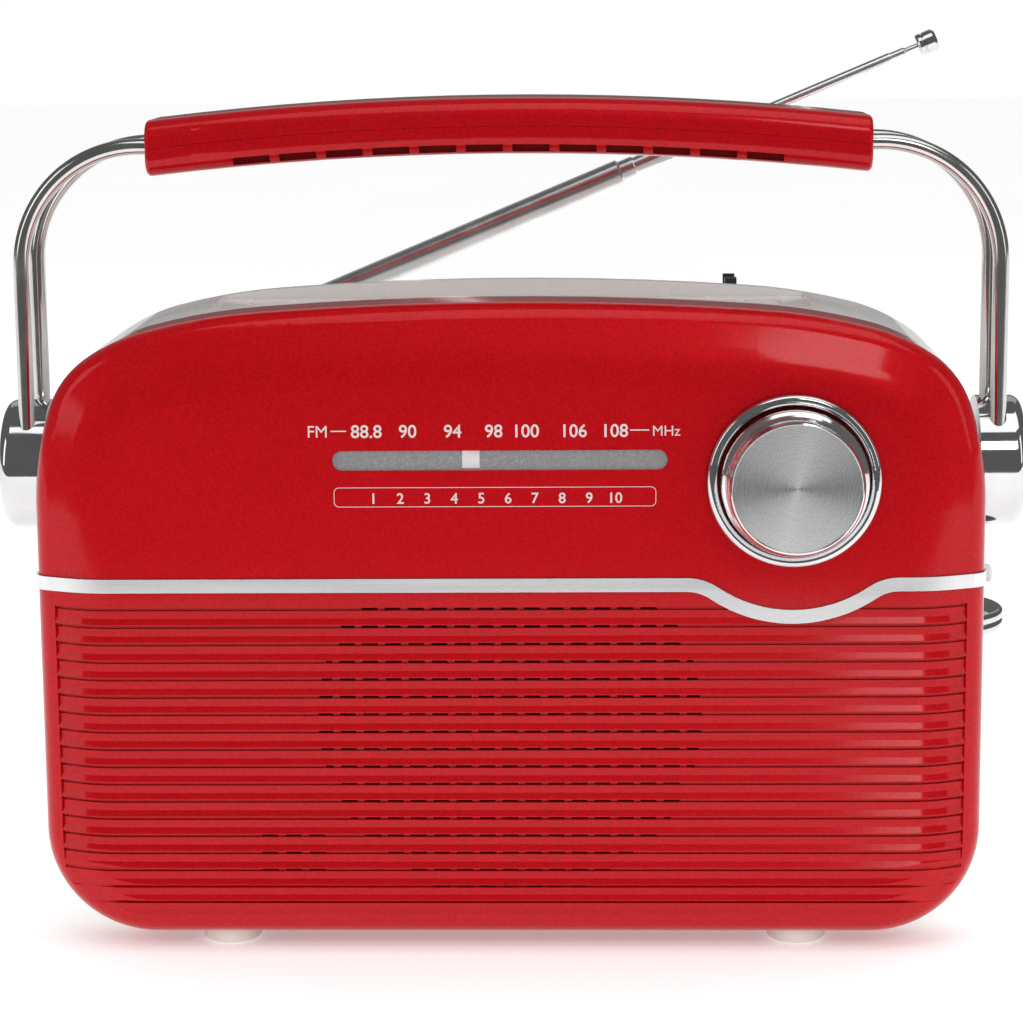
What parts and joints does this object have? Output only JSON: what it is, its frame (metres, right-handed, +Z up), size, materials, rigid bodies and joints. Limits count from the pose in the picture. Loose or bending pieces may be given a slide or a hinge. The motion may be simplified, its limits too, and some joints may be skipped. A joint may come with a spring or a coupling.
{
  "type": "portable radio",
  "caption": "Portable FM radio, red front with ribbed grille and tuning dial, white back, round tuning knob, swinging bar handle and telescopic antenna.",
  "frame": {"origin": "on the ground under the middle of the overall box, midway between the sides and midway between knob face and antenna screw", "axes": "+X to the radio's right as seen from the front, +Y to the back, +Z up"},
  "size_m": [0.2654, 0.1059, 0.2325],
  "materials": {
    "red_shell": "gloss",
    "red_grip": "gloss",
    "white_shell": "gloss",
    "trim": "brushed",
    "chrome": "polished",
    "rods": "satin",
    "knob_skirt": "polished",
    "knob_disc": "radially brushed",
    "lens": "clear",
    "dial_dark": "matte",
    "pointer": "matte",
    "steel": "satin",
    "screws": "zinc",
    "brass": "satin",
    "black_plastic": "matte",
    "white_plastic": "matte",
    "cloth": "woven",
    "paper_cone": "felted",
    "foam": "matte",
    "ferrite": "fired",
    "coil": "silk covered wire",
    "board": "lacquered",
    "can": "satin",
    "capacitor_sleeve": "gloss",
    "cell_skin": "gloss",
    "feet": "satin"
  },
  "bodies": {
    "cabinet": {"front_shell": "red_shell", "trim_strip": "trim", "rear_shell": "white_shell", "dial_lens": "lens", "dial_backplate": "dial_dark", "pointer_rail": "steel", "knob_bezel": "chrome", "shaft_bushing": "brass", "tuning_capacitor": "white_plastic", "grille_cloth": "cloth", "speaker_frame": "steel", "speaker_magnet": "ferrite", "speaker_cone": "paper_cone", "speaker_surround": "foam", "dust_cap": "paper_cone", "speaker_screws": "screws", "main_board": "board", "board_pillars": "white_plastic", "if_cans": "can", "electrolytics": "capacitor_sleeve", "audio_chip": "black_plastic", "ferrite_rod": "ferrite", "aerial_coil": "coil", "volume_pot": "steel", "headphone_jack": "black_plastic", "jack_nut": "brass", "cells": "cell_skin", "contact_plates": "steel", "feet": "feet", "case_screws": "screws", "pivot_bolt_left": "steel", "pivot_bolt_right": "steel", "antenna_washer": "brass", "antenna_screw": "screws", "antenna_clip": "black_plastic"},
    "handle": {"hub_left": "chrome", "hub_right": "chrome", "hub_cap_left": "chrome", "hub_cap_right": "chrome", "wire_left": "rods", "wire_right": "rods", "grip_upper": "red_grip", "grip_lower": "red_grip", "grip_screws": "screws"},
    "tuning": {"tuning_knob": "knob_skirt", "knob_face": "knob_disc", "tuning_shaft": "steel", "drive_drum": "white_plastic"},
    "pointer": {"dial_pointer": "pointer"},
    "volume": {"volume_wheel": "chrome", "volume_spindle": "steel"},
    "door": {"battery_door": "white_shell"},
    "switch": {"switch_button": "feet"},
    "antenna_foot": {"antenna_lug": "chrome", "antenna_section_1": "chrome"},
    "antenna_2": {"antenna_section_2": "chrome"},
    "antenna_3": {"antenna_section_3": "chrome"},
    "antenna_4": {"antenna_section_4": "chrome", "antenna_tip": "chrome"}
  },
  "joints": [
    {"name": "handle_swing", "type": "hinge", "parent": "cabinet", "child": "handle", "pos_m": [0, 0, 0.122], "axis": [1, 0, 0], "range_deg": [-12, 110]},
    {"name": "tuning_turn", "type": "hinge", "parent": "cabinet", "child": "tuning", "pos_m": [0.0712, -0.04, 0.1234], "axis": [0, 1, 0], "range_deg": [-75, 105]},
    {"name": "pointer_travel", "type": "slide", "parent": "cabinet", "child": "pointer", "axis": [1, 0, 0], "range_m": [-0.0262, 0.0366]},
    {"name": "volume_turn", "type": "hinge", "parent": "cabinet", "child": "volume", "pos_m": [0.111, 0.008, 0.0789], "axis": [0, 0, 1], "range_deg": [-280, 0]},
    {"name": "door_swing", "type": "hinge", "parent": "cabinet", "child": "door", "pos_m": [0, 0.0389, 0.0154], "axis": [-1, 0, 0], "range_deg": [0, 95]},
    {"name": "switch_slide", "type": "slide", "parent": "cabinet", "child": "switch", "axis": [0, 1, 0], "range_m": [0, 0.005]},
    {"name": "antenna_fold", "type": "hinge", "parent": "cabinet", "child": "antenna_foot", "pos_m": [-0.083, 0.0442, 0.1484], "axis": [0, 1, 0], "range_deg": [-100, 17]},
    {"name": "antenna_slide_2", "type": "slide", "parent": "antenna_foot", "child": "antenna_2", "axis": [0.9239, 0, 0.3827], "range_m": [-0.036, 0.066]},
    {"name": "antenna_slide_3", "type": "slide", "parent": "antenna_2", "child": "antenna_3", "axis": [0.9239, 0, 0.3827], "range_m": [-0.037, 0.062]},
    {"name": "antenna_slide_4", "type": "slide", "parent": "antenna_3", "child": "antenna_4", "axis": [0.9239, 0, 0.3827], "range_m": [-0.003, 0.09]}
  ],
  "couplings": [
    {"joint": "pointer_travel", "follows": "tuning_turn", "m_per_rad": 0.01986}
  ]
}
